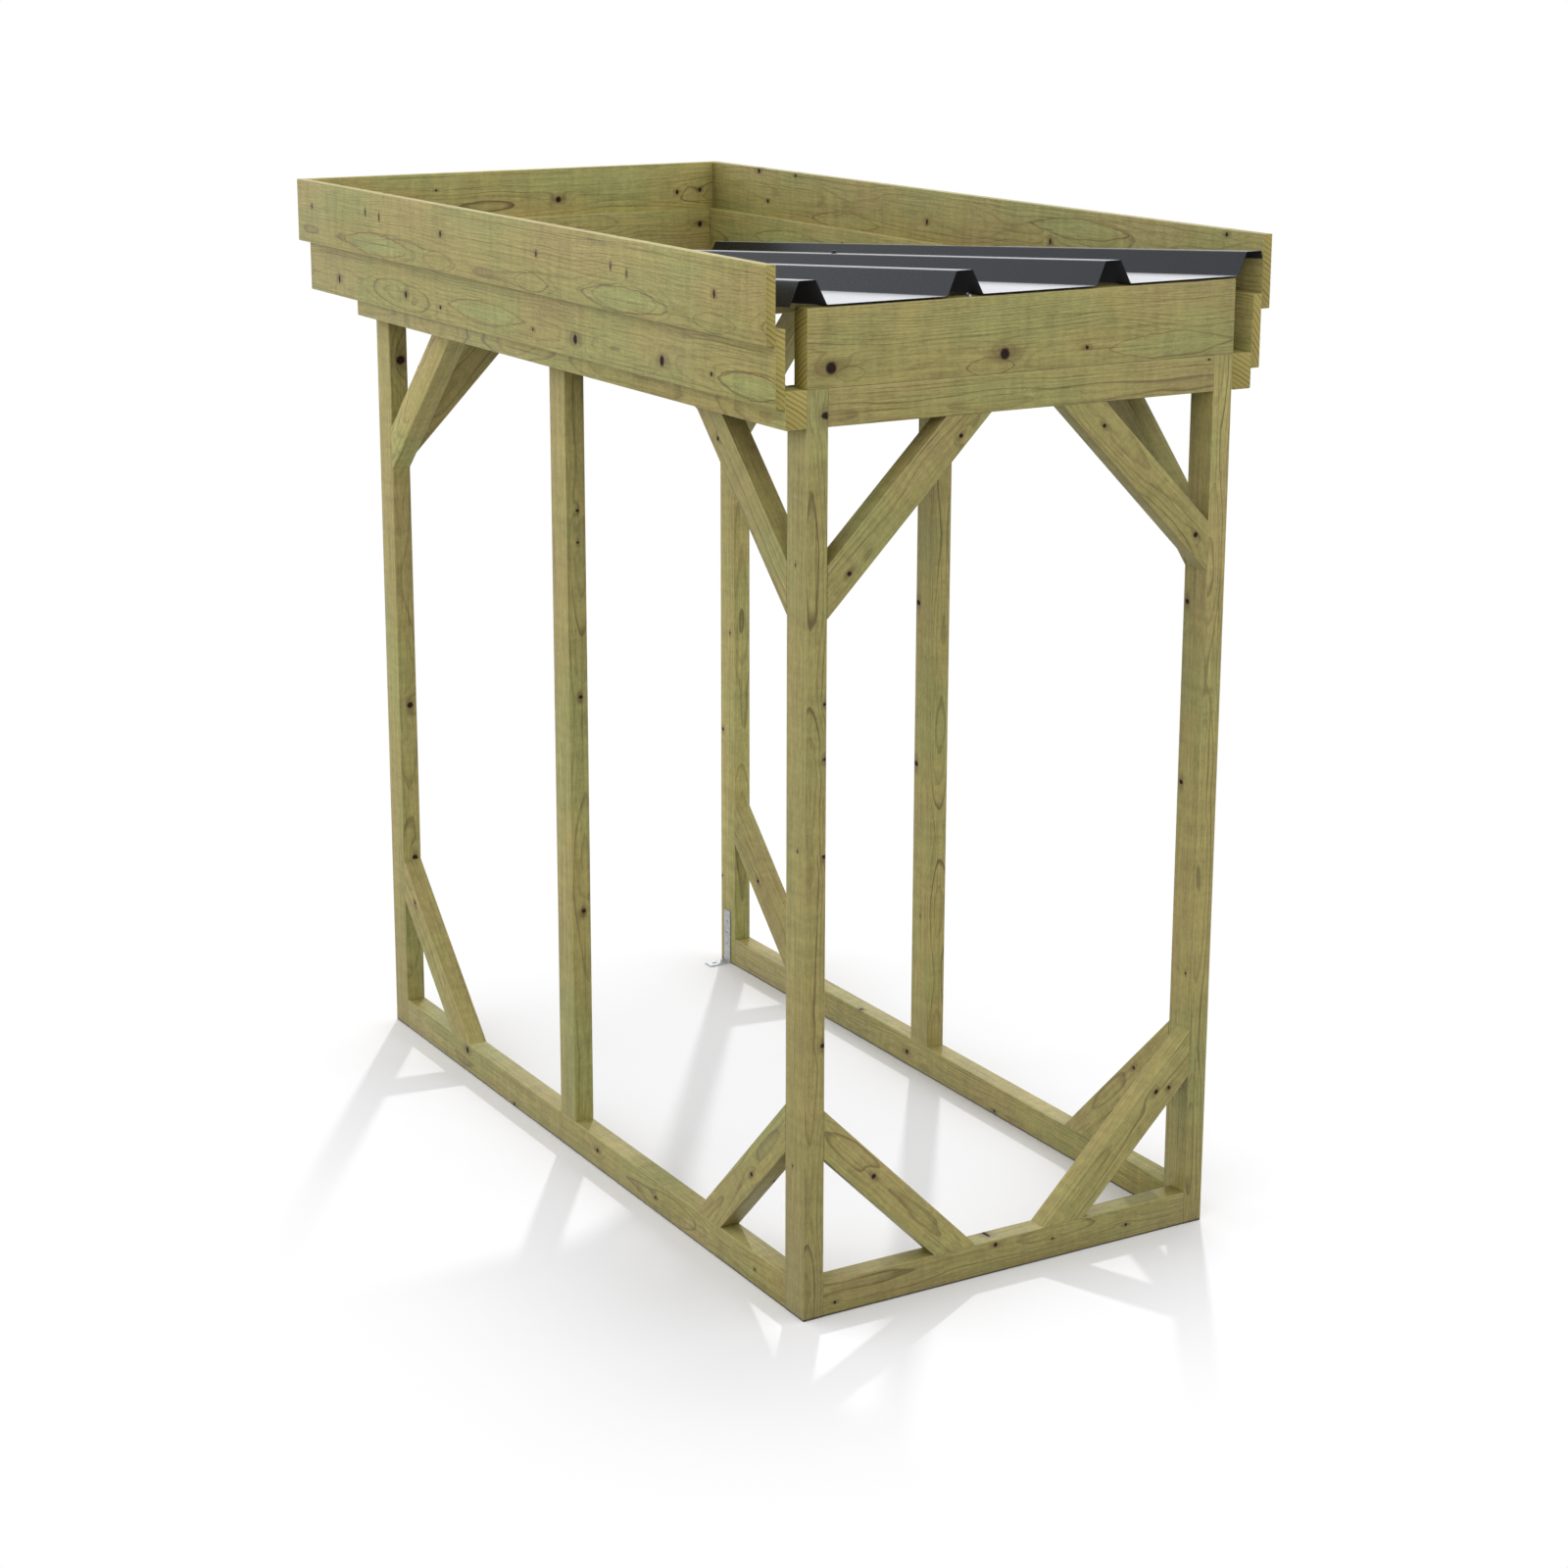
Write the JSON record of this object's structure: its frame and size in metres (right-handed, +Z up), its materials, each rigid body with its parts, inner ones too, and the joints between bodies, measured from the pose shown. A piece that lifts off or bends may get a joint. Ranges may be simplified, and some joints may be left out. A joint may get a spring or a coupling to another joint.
{
  "type": "log store",
  "caption": "Open timber log store with corner braces, a sloping profiled steel roof sheet behind a double row of boards, and one open end.",
  "frame": {"origin": "middle of the footprint, on the ground", "axes": "+Z up; +Y along the length towards the low, open end; +X across, to the right of one who looks along +Y"},
  "size_m": [1.129, 2.188, 2.026],
  "materials": {
    "pine": "sawn and planed, pressure treated, olive tan",
    "steel_sheet": "satin anthracite coil coating",
    "zinc": "galvanised"
  },
  "bodies": {
    "root": {"post_high_left": "pine", "post_high_right": "pine", "post_low_left": "pine", "post_low_right": "pine", "post_mid_left": "pine", "post_mid_right": "pine", "sill_left": "pine", "sill_right": "pine", "sill_high": "pine", "top_beam_left": "pine", "top_beam_right": "pine", "top_beam_high": "pine", "top_beam_low": "pine", "purlin_high": "pine", "purlin_mid": "pine", "foot_brace_high_left_end": "pine", "foot_brace_high_right_end": "pine", "foot_brace_high_left_side": "pine", "foot_brace_high_right_side": "pine", "foot_brace_low_left_side": "pine", "foot_brace_low_right_side": "pine", "top_brace_high_left_end": "pine", "top_brace_high_right_end": "pine", "top_brace_low_left_end": "pine", "top_brace_low_right_end": "pine", "top_brace_high_left_side": "pine", "top_brace_high_right_side": "pine", "top_brace_low_left_side": "pine", "top_brace_low_right_side": "pine", "lower_board_left": "pine", "lower_board_right": "pine", "lower_board_low": "pine", "upper_board_left": "pine", "upper_board_right": "pine", "upper_board_low": "pine", "roof_sheet": "steel_sheet", "anchor_left": "zinc", "anchor_right": "zinc"}
  },
  "joints": []
}
